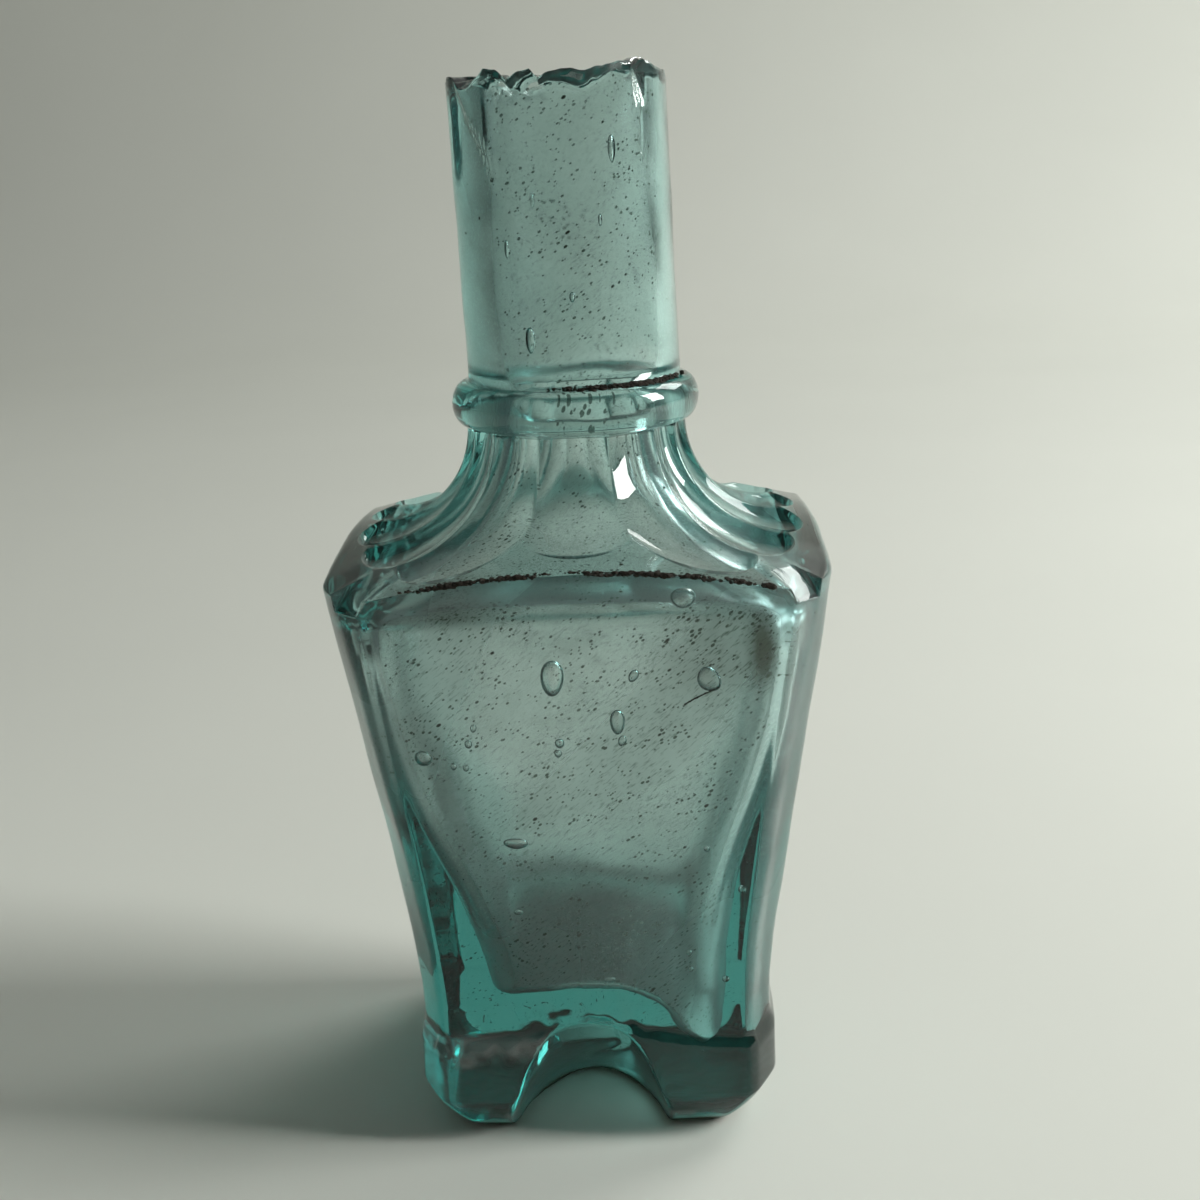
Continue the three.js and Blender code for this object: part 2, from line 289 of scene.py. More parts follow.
def rim_heights():
    """Outer and inner height of the burst rim round the neck."""
    x = NECK_RADIUS * np.cos(AZIMUTH)
    front = ease((0.25 - np.sin(AZIMUTH)) / 0.5)
    # broad run of the break from left to right, as steps above the mean height
    xs = np.array([-11.2, -10.3, -9.3, -8.4, -7.6, -6.5, -5.3, -4.3, -3.1, -2.0, -1.3,
                   1.0, 3.2, 4.3, 6.8, 8.6, 9.3, 10.8, 11.2])
    crest = np.array([-1.6, -0.7, -2.0, -2.2, -1.4, -0.3, -0.5, -1.5, -0.8, -0.6, -1.4,
                      -0.6, -0.9, -0.6, -0.1, 0.1, -0.3, -1.0, -2.2])
    around = OUTWARD * NECK_RADIUS
    teeth = 0.06 * waves(around, 2.0, 5) + 0.04 * waves(around, 0.8, 6)
    run = np.interp(x, xs, crest)
    back_run = -1.3 + 0.35 * waves(around, 6.0, 7) + 0.25 * np.interp(x, [-11, 11], [-1, 1])
    crest_height = run * front + np.minimum(run, back_run) * (1 - front)
    outer = RIM_TOP + crest_height + teeth
    # most of the break falls away inwards; a scoop at the left faces out
    fall = 1.15 * bump(x, 2.6, 3.4) + 0.7 * bump(x, -5.0, 1.6) + 0.7 * bump(x, 8.2, 1.6)
    fall = (0.3 + fall) * front + 0.3 * (1 - front) - 0.9 * bump(x, -9.0, 1.1)
    return outer, outer - fall


def outer_rows():
    rows = []
    # underside, nearly flat, sunk a little in the middle
    for q in np.linspace(0.08, 1.0, 22):
        rows.append(ring_row(q * body_radius(FOOT_EDGE_HALF, 0.0), 0.25 * (1 - q ** 2)))
    # rounded bevel up to the foot block
    for psi in np.radians(np.linspace(0, 90, 13)[1:]):
        half = FOOT_EDGE_HALF + (FOOT_HALF - FOOT_EDGE_HALF) * math.sin(psi) ** BEVEL_POWER
        height = BEVEL_HEIGHT * (1 - math.cos(psi) ** BEVEL_POWER)
        rows.append(ring_row(body_radius(half, 0.0), height))
    # foot block, its ledge and the waist; over the notch the ledge arches
    front = np.sin(AZIMUTH) < -math.sqrt(0.5)
    x = WAIST_HALF * np.cos(AZIMUTH)
    ledge = LEDGE_Z + np.where(front, LEDGE_ARCH * bump(x, NOTCH_MIDDLE[0], 8.5), 0)
    for z in np.linspace(BEVEL_HEIGHT, WAIST_Z, 27)[1:]:
        block = 1 - ease((z - ledge) / 1.8 + 0.5)
        half = WAIST_HALF - 0.12 * bump(z, 12.5, 2.2) + (FOOT_HALF - WAIST_HALF) * block
        rows.append(ring_row(body_radius(half, z), z))
    # panels and chamfers, with rows crowded under the top edge, then the roll over that edge
    roll = top_roll()
    for t in 1 - np.linspace(1, 0, 31)[1:] ** 1.5:
        z = WAIST_Z + t * (panel_top() - roll - WAIST_Z)
        rows.append(ring_row(body_radius(body_half(z), z), z))
    swollen = body_radius(SHOULDER_HALF, SHOULDER_Z)
    for turn in np.radians((18, 36, 54, 72, 90)):
        radius = swollen - roll * (1 - math.cos(turn)) / np.cos(FROM_MIDDLE)
        rows.append(ring_row(radius, panel_top() - roll * (1 - math.sin(turn))))
    # sloping band
    edge = band_edge()
    scoop, reach = flutes()
    reach = np.minimum(reach, edge - 0.6)
    for t in (0.10, 0.24, 0.42, 0.62, 0.82, 0.94, 1.0):
        radius = edge + t * (reach + FLUTE_STEP - edge)
        rows.append(ring_row(radius, band_height(radius)))
    # coved flutes
    end = band_height(reach)
    for sweep in np.radians(np.linspace(90, 0, 34)):
        depth = FLUTE_DEPTH * scoop
        radius = reach - (reach - ROOT_RADIUS + depth) * math.cos(sweep)
        rows.append(ring_row(radius, RING_BOTTOM - (RING_BOTTOM - end + depth) * math.sin(sweep)))
    # neck ring
    middle, half = (RING_TOP + RING_BOTTOM) / 2, (RING_TOP - RING_BOTTOM) / 2
    for psi in np.radians(np.linspace(-90, 90, 19)[1:]):
        base = ROOT_RADIUS + (NECK_RADIUS - ROOT_RADIUS) * (math.sin(psi) + 1) / 2
        radius = base + (RING_RADIUS - base) * math.cos(psi) ** 0.85
        rows.append(ring_row(radius, middle + half * math.sin(psi)))
    # neck up to the rim, with rows crowded at the top
    rim_outer, _ = rim_heights()
    for t in 1 - np.linspace(1, 0, 29)[1:] ** 1.35:
        rows.append(ring_row(NECK_RADIUS, RING_TOP + t * (rim_outer - RING_TOP)))
    return rows


def rim_rows():
    """The broken face between the outside of the neck and its bore."""
    rim_outer, rim_inner = rim_heights()
    rows = []
    for i, t in enumerate((0.06, 0.16, 0.28, 0.42, 0.6, 0.8)):
        fallen = ease(t / 0.55)
        radius = NECK_RADIUS + t * (BORE_RADIUS - NECK_RADIUS)
        row = ring_row(radius, rim_outer + fallen * (rim_inner - rim_outer))
        row[:, 2] += 0.05 * waves(row, 1.3, 30 + i)
        rows.append(row)
    return rows


# ---------------------------------------------------------------- cavity

def cavity_radius(z, azimuth=AZIMUTH):
    to_left, to_right, depth, squareness = (
        smooth_curve(z, CAVITY[:, 0], CAVITY[:, i]) for i in (1, 2, 3, 4))
    across = np.where(np.cos(azimuth) < 0, to_left, to_right)
    c, s = np.abs(np.cos(azimuth)) / across, np.abs(np.sin(azimuth)) / depth
    return (c ** squareness + s ** squareness) ** (-1 / squareness)


def floor_height(x, y):
    """Floor of the cavity: domed over the notch, with a deep toe at the front right."""
    dome = 16.6 - 1.3 * ((x + 1) / 9) ** 2 + 0.02 * y
    toe = 7.6 * np.exp(-(((x - 11.3) / 4.2) ** 2) - ((y + 9) / 6.5) ** 2)
    return dome - toe


def inner_rows():
    _, rim_inner = rim_heights()
    rows = []
    # bore of the neck
    for t in np.linspace(0, 1, 24) ** 1.3:
        rows.append(ring_row(BORE_RADIUS, rim_inner + t * (CAVITY_TOP - rim_inner)))
    # shoulder and walls, down to the fillet round the floor
    fillet = 1.8 + 5.5 * ease(np.sin(AZIMUTH) * 1.4)
    wall_foot = np.full(len(AZIMUTH), 16.0)
    for _ in range(4):
        radius = cavity_radius(wall_foot)
        wall_foot = floor_height(radius * np.cos(AZIMUTH), radius * np.sin(AZIMUTH)) + fillet
    for t in np.linspace(0, 1, 45)[1:]:
        z = CAVITY_TOP + t * (wall_foot - CAVITY_TOP)
        rows.append(ring_row(cavity_radius(z), z))
    foot_radius = cavity_radius(wall_foot)
    for psi in np.radians(np.linspace(0, 90, 8)[1:]):
        row = ring_row(foot_radius - fillet * (1 - math.cos(psi)), 0)
        row[:, 2] = floor_height(row[:, 0], row[:, 1]) + fillet * (1 - math.sin(psi))
        rows.append(row)
    middle_x = 2.0
    for t in np.linspace(1, 0, 13)[1:-1]:
        row = ring_row((foot_radius - fillet) * t, 0)
        row[:, 0] += middle_x * (1 - t)
        row[:, 2] = floor_height(row[:, 0], row[:, 1])
        rows.append(row)
    return rows, np.array([middle_x, 0, floor_height(middle_x, 0.0)])


# ---------------------------------------------------------------- notch in the foot

def notch_size(x):
    """How far the notch reaches back and up in the slice at x: its sides slope in to a flat top."""
    u = np.clip(np.abs(x - NOTCH_MIDDLE[0]) / NOTCH_HALF[0], 0, 1)
    sloping = NOTCH_HALF[2] * 1.15 * (1 - u ** 1.6) ** 0.625
    rise = (sloping ** -8.0 + NOTCH_HALF[2] ** -8.0) ** (-1 / 8) if sloping > 0 else 0.0
    return NOTCH_HALF[1] * (1 - u ** 2) ** 0.6, rise


def scoop_notch(points):
    """Folds the foot's skin into the notch, slice by slice, so it stays one surface."""
    cx, cy = NOTCH_MIDDLE
    travel = np.linspace(0, 1, 1200)
    moved = np.zeros(len(points), bool)
    near = np.abs(points[:, 0] - cx) < NOTCH_HALF[0] - 0.01
    near &= (points[:, 1] < 0) & (points[:, 2] < WAIST_Z)
    # the uncut skin: along the underside, round the bevel, up the face
    psi = np.clip(travel * 3 - 1, 0, 1) * math.pi / 2
    face_out = FOOT_HALF + FACE_BOW
    skin_y = -(FOOT_EDGE_HALF + (face_out - FOOT_EDGE_HALF) * np.sin(psi) ** BEVEL_POWER)
    skin_y = np.where(travel < 1 / 3, -FOOT_EDGE_HALF * travel * 3, skin_y)
    skin_z = BEVEL_HEIGHT * (1 - np.cos(psi) ** BEVEL_POWER)
    skin_z = skin_z + np.clip(travel * 3 - 2, 0, 1) * (WAIST_Z - BEVEL_HEIGHT)
    along = skin_z - skin_y
    for i in np.flatnonzero(near):
        x, y, z = points[i]
        reach, rise = notch_size(x)
        inside = ((skin_y - cy) / reach) ** 2 + (skin_z / rise) ** 2 < 1
        if not inside.any():
            continue
        first, last = np.flatnonzero(inside)[[0, -1]]
        u = z - y
        if not along[first] <= u <= along[last]:
            continue
        start = math.atan2(skin_z[first] / rise, (skin_y[first] - cy) / reach)
        stop = math.atan2(skin_z[last] / rise, (skin_y[last] - cy) / reach)
        angle = start + (stop - start) * (u - along[first]) / (along[last] - along[first])
        points[i, 1] = cy + reach * math.cos(angle)
        points[i, 2] = rise * math.sin(angle)
        moved[i] = True
    return points, moved


# A fold in the chilled glass of the notch's back wall, as x and height
FOLD = np.array([
    (-2.2, 1.2), (-1.6, 1.9), (-0.6, 3.0), (0.5, 3.5),
    (1.5, 4.1), (2.3, 4.9), (2.5, 5.9), (2.2, 7.0)])


def raise_fold(points, moved):
    """Lifts a narrow S-shaped fold out of the notch's back wall."""
    steps = np.linspace(0, len(FOLD) - 1, 60)
    knots = np.arange(len(FOLD))
    path = np.stack([smooth_curve(steps, knots, FOLD[:, i]) for i in (0, 1)], axis=1)
    at_back = moved & (points[:, 1] > -13) & (points[:, 2] > 0.5)
    flat = points[at_back][:, (0, 2)]
    gap = np.sqrt(((flat[:, None] - path[None]) ** 2).sum(axis=2).min(axis=1))
    points[at_back, 1] -= 0.30 * bump(gap, 0, 0.5)
    return points


def fire_polish(grid, where, rounds):
    """Softens edges: each marked point moves towards the middle of its four neighbours."""
    row = np.arange(len(grid))[:, None]
    where = where & (row > 0) & (row < len(grid) - 1)
    for _ in range(rounds):
        across = np.roll(grid, 1, 1) + np.roll(grid, -1, 1)
        along = np.roll(grid, 1, 0) + np.roll(grid, -1, 0)
        grid = np.where(where[..., None], grid * 0.5 + (across + along) * 0.125, grid)
    return grid


def spread_mask(mask, steps):
    for _ in range(steps):
        across = np.roll(mask, 1, 1) | np.roll(mask, -1, 1)
        along = np.roll(mask, 1, 0) | np.roll(mask, -1, 0)
        mask = mask | across | along
    return mask


# ---------------------------------------------------------------- building meshes

def make_piece(name, points, faces, material, smooth=True):
    mesh = bpy.data.meshes.new(name)
    mesh.from_pydata((np.asarray(points) * MM).tolist(), [], faces)
    mesh.validate()
    mesh.polygons.foreach_set("use_smooth", [smooth] * len(mesh.polygons))
    mesh.materials.append(material)
    piece = bpy.data.objects.new(name, mesh)
    bpy.context.scene.collection.objects.link(piece)
    return piece


def skin_faces(row_count, columns):
    """Quads between rows of columns, with a fan at each end; pole vertices come last."""
    faces = []
    for r in range(row_count - 1):
        for c in range(columns):
            d = (c + 1) % columns
            low, high = r * columns, (r + 1) * columns
            faces.append((low + c, low + d, high + d, high + c))
    first_pole, last_pole = row_count * columns, row_count * columns + 1
    top = (row_count - 1) * columns
    for c in range(columns):
        d = (c + 1) % columns
        faces.append((first_pole, d, c))
        faces.append((last_pole, top + c, top + d))
    return faces


def lens_void(middle, half_sizes, lean, segments=16, rings=9):
    """A seed: a small egg-shaped void, drawn out along its long axis. Its faces look inwards."""
    width, thickness, height = half_sizes
    points, faces = [], []
    for r in range(1, rings):
        polar = math.pi * r / rings
        for s in range(segments):
            around = 2 * math.pi * s / segments
            taper = 1 + 0.12 * math.cos(polar)
            points.append((
                width * taper * math.sin(polar) * math.cos(around),
                thickness * taper * math.sin(polar) * math.sin(around),
                height * math.cos(polar)))
    points += [(0, 0, height), (0, 0, -height)]
    for r in range(rings - 2):
        for s in range(segments):
            t = (s + 1) % segments
            low, high = r * segments, (r + 1) * segments
            faces.append((low + s, low + t, high + t, high + s))
    top, bottom = len(points) - 2, len(points) - 1
    last = (rings - 2) * segments
    for s in range(segments):
        t = (s + 1) % segments
        faces.append((top, t, s))
        faces.append((bottom, last + s, last + t))
    turn = np.array(Matrix.Rotation(lean, 3, "Y"))
    return np.array(points) @ turn.T + np.array(middle), faces


# Seeds in the front wall: x, height, half width, half height, lean in degrees
PANEL_SEEDS = [
    (-2.6, 52.4, 1.15, 1.85, 3),
    (3.5, 47.6, 0.75, 1.30, 0),
    (-7.1, 34.6, 1.25, 0.58, 4),
    (-2.2, 45.5, 0.48, 0.50, 0),
    (-2.4, 44.4, 0.38, 0.40, 0),
    (3.9, 45.6, 0.42, 0.58, 20),
    (-10.5, 47.4, 0.32, 0.44, 10),
    (-11.1, 45.7, 0.38, 0.44, 0),
    (-12.7, 43.3, 0.33, 0.34, 0),
    (-11.5, 43.1, 0.33, 0.34, 0),
    (-15.6, 44.3, 0.90, 0.78, 20),
    (10.1, 60.2, 1.20, 1.00, 0),
    (5.2, 52.4, 0.46, 0.68, 30),
    (12.4, 51.8, 1.35, 1.10, 60),
    (-7.3, 26.7, 0.48, 0.30, 5),
    (9.9, 21.4, 0.30, 0.30, 0),
    (10.0, 19.4, 0.30, 0.30, 0),
    (11.9, 33.4, 0.34, 0.34, 0),
    (15.4, 28.6, 0.44, 0.44, 0),
    (13.6, 18.1, 0.38, 0.38, 0),
    (1.7, 18.4, 0.60, 0.30, 0),
]
# Seeds in the neck: azimuth in degrees, height, half width, half height
NECK_SEEDS = [
    (-61.7, 101.1, 0.40, 1.30),
    (-112.5, 83.2, 0.48, 1.30),
    (-87.5, 87.3, 0.28, 0.50),
    (-125.0, 92.0, 0.22, 0.90),
    (-70.0, 94.5, 0.20, 0.60),
    (35.0, 88.0, 0.35, 1.00),
    (120.0, 96.0, 0.30, 0.80),
]
SCATTERED_SEEDS = 26                  # in the other three walls
SEED_DEPTH = 1.3                      # under the surface of those walls


def seeds():
    """Every trapped seed as points and faces, ready to join to the skin."""
    for x, z, half_x, half_z, lean in PANEL_SEEDS:
        outside = float(body_half(z)) + FACE_BOW
        thick = min(0.5, 0.55 * min(half_x, half_z))
        yield lens_void((x, 1.15 - outside, z), (half_x, thick, half_z), math.radians(lean))
    for _ in range(SCATTERED_SEEDS):
        side = rng.integers(0, 3)
        z = rng.uniform(20, 57)
        across = rng.uniform(-0.7, 0.7) * (float(body_half(z)) - 4)
        size = rng.uniform(0.22, 0.6)
        depth = float(body_half(z)) + (FACE_BOW if side == 1 else SIDE_BOW) - SEED_DEPTH
        middle = [(depth, across, z), (across, depth, z), (-depth, across, z)][side]
        flat = 0.55 * size
        sizes = (size, flat, size * 1.4) if side == 1 else (flat, size, size * 1.4)
        yield lens_void(middle, sizes, 0.0, segments=12, rings=7)
    for degrees, z, half_width, half_height in NECK_SEEDS:
        a = math.radians(degrees)
        radius = (NECK_RADIUS + BORE_RADIUS) / 2
        sizes = (half_width, 0.45 * half_width + 0.1, half_height)
        points, faces = lens_void((0, 0, 0), sizes, 0.0)
        turn = np.array(Matrix.Rotation(a + math.pi / 2, 3, "Z"))
        yield points @ turn.T + np.array([radius * math.cos(a), radius * math.sin(a), z]), faces


def signed_volume(points, faces):
    total = 0.0
    for face in faces:
        a = points[face[0]]
        for j in range(1, len(face) - 1):
            total += np.dot(a, np.cross(points[face[j]], points[face[j + 1]])) / 6
    return total


def uneven(grid, outside, rim_start, bore_start):
    """Moves the skin in and out: gently outside, where the mould held it, and more inside."""
    x, y, z = np.moveaxis(grid, -1, 0)
    mould = (0.035 * waves(grid, 11, 11) + 0.008 * waves(grid, 3.8, 12)) * ease((z - 1.0) / 6)
    free = 0.055 * waves(grid, 11, 13) + 0.012 * waves(grid, 4.2, 14)
    drawn = 0.05 * np.sin(5 * AZIMUTH + 0.8)[None] * ease((z - RING_TOP - 2) / 3)
    push = np.where(outside, mould, free + drawn)
    push[rim_start:bore_start] = 0
    push[bore_start:bore_start + 3] *= 0.3
    # rougher on the front: along the ledge of the foot at the left, and over the notch
    on_front = ease((-y - 15) / 2)
    rough_ledge = bump(z, LEDGE_Z, 1.0) * ease((-3 - x) / 2) * on_front
    push += 0.12 * waves(grid, 1.5, 15) * rough_ledge * outside
    over_notch = bump(z, 14.2, 1.8) * bump(x, 0, 8) * on_front
    push += 0.16 * waves(grid, 2.4, 16) * over_notch * outside
    return grid + OUTWARD[None] * push[..., None]


def chip_lip(grid, outside):
    """Flakes off the outside of the lip: a broad shallow one at the left, a narrow one at the
    right, and two bruises under that."""
    degrees = (np.degrees(AZIMUTH)[None] + 180) % 360 - 180
    z = grid[..., 2]
    flake_edge = -144 + (105.4 - z) * 3.6
    flake = ease((flake_edge - degrees) / 2.5) * ease((degrees + 162) / 14) * ease((z - 96.5) / 5)
    facet = np.clip((z - 105.3) * 0.36, 0, 1.3) * ease((4.4 - np.abs(degrees + 42)) / 1.2)
    facet *= 1 + 0.12 * np.sin(degrees * 2.6 + z)
    bruise = bump(degrees, -43, 1.3) * bump(z, 101.6, 0.5)
    bruise += bump(degrees, -41.5, 0.9) * bump(z, 103.4, 0.8)
    cut = (0.42 * flake + facet + 0.22 * bruise) * outside * ease((z - RING_TOP - 4) / 4)
    return grid - OUTWARD[None] * cut[..., None]


def cut_notch(grid, outer_count):
    """Folds the notch into the rows of the outside that lie below the waist."""
    columns = len(AZIMUTH)
    foot_count = np.flatnonzero(grid[:outer_count, :, 2].min(axis=1) < WAIST_Z)[-1] + 1
    foot, moved = scoop_notch(grid[:foot_count].reshape(-1, 3).copy())
    foot = raise_fold(foot, moved).reshape(foot_count, columns, 3)
    moved = moved.reshape(foot_count, columns)
    rim_of_notch = spread_mask(moved, 2) & spread_mask(~moved, 4)
    grid[:foot_count] = fire_polish(foot, rim_of_notch, 5)
    return grid


def glass_skin(material):
    outer = outer_rows()
    rim = rim_rows()
    inner, floor_pole = inner_rows()
    rim_start, bore_start = len(outer), len(outer) + len(rim)
    columns = len(AZIMUTH)
    grid = np.array(outer + rim + inner)
    outside = np.arange(len(grid))[:, None] < rim_start
    grid = uneven(grid, outside, rim_start, bore_start)
    grid = chip_lip(grid, outside)

    # the bore is off centre, and the neck leans a little to the left
    bore = grid[bore_start:]
    bore[..., 0] += BORE_SHIFT * ease((bore[..., 2] - 68) / 8)
    grid[..., 0] -= NECK_LEAN * np.clip((grid[..., 2] - RING_TOP) / (RIM_TOP - RING_TOP), 0, 1)

    # the underside is rough where the mould plate chilled it
    under = ease((1.2 - grid[..., 2]) / 1.2) * outside
    grid[..., 2] += under * (0.12 + 0.05 * waves(grid, 5.0, 17) + 0.025 * waves(grid, 1.5, 18))
    grid[..., 2] = np.maximum(grid[..., 2], 0.02)

    grid = cut_notch(grid, rim_start)
    underside_pole = (0, 0, 0.45)
    points = np.vstack([grid.reshape(-1, 3), underside_pole, floor_pole])
    faces = skin_faces(len(grid), columns)
    if signed_volume(points, faces) < 0:
        faces = [tuple(reversed(f)) for f in faces]

    # 1 on the skin of the cavity, 0 on the outside, the break and the seeds
    inside = np.ones(len(points))
    inside[:bore_start * columns] = 0
    inside[-2] = 0
    all_points, total = [points], len(points)
    for seed_points, seed_faces in seeds():
        if signed_volume(seed_points, seed_faces) > 0:
            seed_faces = [tuple(reversed(f)) for f in seed_faces]
        faces += [tuple(v + total for v in f) for f in seed_faces]
        all_points.append(seed_points)
        total += len(seed_points)
    points = np.vstack(all_points)
    inside = np.concatenate([inside, np.zeros(total - len(inside))])

    piece = make_piece("glass_body", points, faces, material)
    put_weathering(piece, points, inside)
    return piece


# Stained spots on the front: strength, x and its spread, height and its spread
STAINS_INSIDE = [
    (0.80, -12.5, 4.5, 59.0, 0.8),    # tide mark under the shoulder at the left
    (0.75, 17.8, 1.5, 54.5, 4.0),     # soil down the right edge: a streak in a thin cloud
    (0.30, 14.0, 6.0, 54.0, 6.0),
]
STAINS_OUTSIDE = [
    (0.90, -13.6, 0.9, 9.6, 0.5),     # a spot on the ledge of the foot
    (0.50, 20.6, 1.8, 60.4, 1.2),     # the right-hand cap
    (0.35, -17.6, 1.5, 7.0, 3.0),     # the bevel at the left
]


def spots(x, z, table):
    return sum(
        strength * bump(x, at_x, spread_x) * bump(z, at_z, spread_z)
        for strength, at_x, spread_x, at_z, spread_z in table)


def put_weathering(piece, points, inside):
    """Vertex values that the material reads, from 0 to 1: how stained and how hazy each spot of
    glass is, and whether specks lie on it; the stain value also carries painted shade in the notch."""
    x, y, z = points.T
    within, without = inside > 0.5, inside < 0.5
    # stain inside, with a faint line round the shoulder, and outside, along the ledge of the foot
    stain = spots(x, z, STAINS_INSIDE) + 0.25 * bump(z, 60.5, 1.6)
    stain = np.where(within & (y < -8), stain, 0)
    soiled = spots(x, z, STAINS_OUTSIDE) + 0.45 * bump(z, 11.2, 0.9) * ease((-2 - x) / 3)
    stain += np.where(without & (y < -12), soiled, 0)
    # haze inside, in clouds, thickest at mid height and round the floor, thinner in the neck
    clouds = 0.50 + 0.18 * waves(points, 14, 41)
    haze = inside * (clouds + 0.2 * bump(z, 50, 16) + 0.35 * bump(z, 18, 14))
    haze *= 1 - 0.30 * ease((z - 64) / 8)
    # scuffed and soiled where the bottle has stood
    scuffed = ease((1.4 - z) / 1.0) * without
    haze = np.maximum(haze, scuffed)
    stain = np.maximum(stain, 0.95 * scuffed)
    # soil on the front right chamfer
    degrees = np.degrees(np.arctan2(y, x))
    chamfer = bump(degrees, -44.5, 2.2) * ease((z - 12) / 6) * ease((64 - z) / 3)
    stain = np.maximum(stain, without * chamfer * (0.30 + 0.12 * waves(points, 4, 42)))
    # dirt on the break
    from_axis = np.hypot(x + NECK_LEAN, y)
    broken = ease((z - 105.6) / 0.8) * (np.abs(from_axis - (NECK_RADIUS - 0.9)) < 0.85)
    stain = np.maximum(stain, without * broken * (0.34 + 0.12 * waves(points, 1.6, 43)))
    # a dull film along the top of the front
    haze = np.maximum(haze, without * 0.25 * bump(z, 61.5, 2.2) * (y < -12))
    # painted shade in the notch: a dark, dulled film on its walls, partly soil and partly standing
    # in for the shadow under the foot
    in_notch = (y < -4) * (y > -17.3) * (np.abs(x) < 10) * (z < 15) * ease((z - 1.2) / 0.6)
    stain = np.maximum(stain, 0.55 * without * in_notch)
    # specks everywhere inside, and outside at the back, by the corners and along the foot
    low_or_corner = np.maximum(ease((np.abs(x) - 11) / 2), ease((15 - z) / 2))
    specked = np.maximum(inside, without * (y > 8) * ease((46 - z) / 8) * low_or_corner)
    for name, values in (("stain", stain), ("haze", haze), ("specked", specked)):
        layer = piece.data.attributes.new(name, "FLOAT", "POINT")
        layer.data.foreach_set("value", np.clip(values, 0, 1).astype(np.float32))


# ---------------------------------------------------------------- materials

def srgb(code):
    """Hex sRGB to the linear colour that the shaders take."""
    parts = [int(code[i:i + 2], 16) / 255 for i in (0, 2, 4)]
    return [c / 12.92 if c <= 0.04045 else ((c + 0.055) / 1.055) ** 2.4 for c in parts] + [1.0]


def add_node(material, kind, links=None, **settings):
    """Adds a node. Settings named after an input set its value, others set a property."""
    node = material.node_tree.nodes.new(kind)
    for key, value in settings.items():
        if key.startswith("in_"):
            label = key[3:].replace("_", " ")
            node.inputs[int(label) if label.isdigit() else label].default_value = value
        else:
            setattr(node, key, value)
    for label, source in (links or {}).items():
        material.node_tree.links.new(source, node.inputs[label])
    return node


def new_material(name):
    material = bpy.data.materials.new(name)
    material.use_nodes = True
    material.node_tree.nodes.clear()
    return material


def math_on(material, operation, first, second, third=None, clamp=False):
    """One sum on values: each of them is a number or the socket of another node."""
    given = {i: v for i, v in enumerate((first, second, third)) if v is not None}
    numbers = {f"in_{i}": v for i, v in given.items() if isinstance(v, float)}
    sockets = {i: v for i, v in given.items() if not isinstance(v, float)}
    node = add_node(
        material, "ShaderNodeMath", sockets, operation=operation, use_clamp=clamp, **numbers)
    return node.outputs[0]


def slanted_place(material, place, degrees, stretch):
    """Coordinates in which a pattern is drawn out along a slant that rises to the right."""
    return add_node(
        material, "ShaderNodeMapping", {"Vector": place}, vector_type="TEXTURE",
        in_Rotation=(0, math.radians(-degrees), 0), in_Scale=(stretch, 1, 1)).outputs[0]


def speck_layer(material, place, patches, spacing, rarest, largest):
    """Specks of dirt, at most one to a cell: spacing in millimetres, the largest radius in
    cells. A cell whose chance is under rarest stays clean."""
    cells = add_node(
        material, "ShaderNodeTexVoronoi", {"Vector": place}, in_Scale=1 / (spacing * MM))
    chance = math_on(material, "MULTIPLY", cells.outputs["Color"], patches)
    size = add_node(
        material, "ShaderNodeMapRange", {"Value": chance},
        in_From_Min=rarest, in_From_Max=0.50, in_To_Max=largest)
    within = math_on(material, "SUBTRACT", size.outputs[0], cells.outputs["Distance"])
    return add_node(
        material, "ShaderNodeMapRange", {"Value": within}, in_From_Max=0.08).outputs[0]


